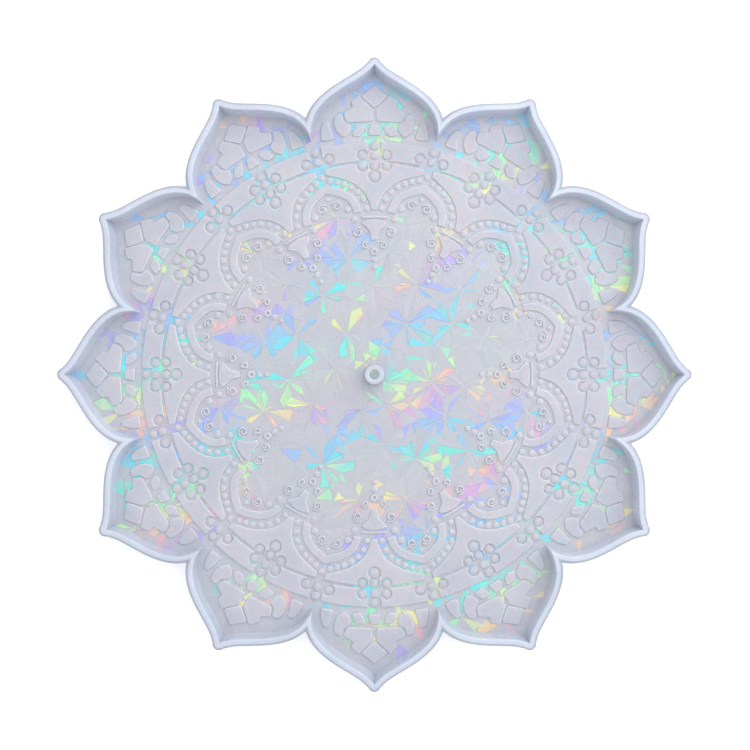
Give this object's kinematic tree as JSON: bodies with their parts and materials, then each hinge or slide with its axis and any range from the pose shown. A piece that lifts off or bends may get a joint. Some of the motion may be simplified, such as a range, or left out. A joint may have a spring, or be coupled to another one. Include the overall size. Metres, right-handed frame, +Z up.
{
  "type": "resin casting mould",
  "caption": "Shallow silicone casting mould with a lotus outline, a raised rim, a hollow centre post and a mandala relief on a holographic floor.",
  "frame": {"origin": "centre of the underside, on the axis of the centre post", "axes": "+Z up out of the open cavity, +Y along the first petal"},
  "size_m": [0.2546, 0.2546, 0.011],
  "materials": {
    "silicone_body": "translucent satin silicone",
    "silicone_rim": "translucent glossy silicone",
    "frosted_relief": "frosted silicone",
    "holographic_floor": "glossy holographic micro-relief"
  },
  "bodies": {
    "root": {"base_sheet": "silicone_body", "petal_sheets": "silicone_body", "rim_wall": "silicone_rim", "centre_post": "silicone_rim", "hologram_floor": "holographic_floor", "diamond_pads": "frosted_relief", "heart_lobe_pads": "frosted_relief", "s_curve_pads": "frosted_relief", "side_leaf_pads": "frosted_relief", "base_trio_pads": "frosted_relief", "ribbon_pads": "frosted_relief", "axis_dot_clusters": "frosted_relief", "valley_dot_clusters": "frosted_relief", "web_pads": "frosted_relief", "bead_borders": "frosted_relief", "arch_bands": "frosted_relief", "arch_scrolls": "frosted_relief", "arch_dots": "frosted_relief", "corner_beads": "frosted_relief", "fan_pads": "frosted_relief", "fan_crowns": "frosted_relief", "upper_scrolls": "frosted_relief", "lower_scrolls": "frosted_relief", "pendant_rings": "frosted_relief", "pendant_dots": "frosted_relief"}
  },
  "joints": []
}
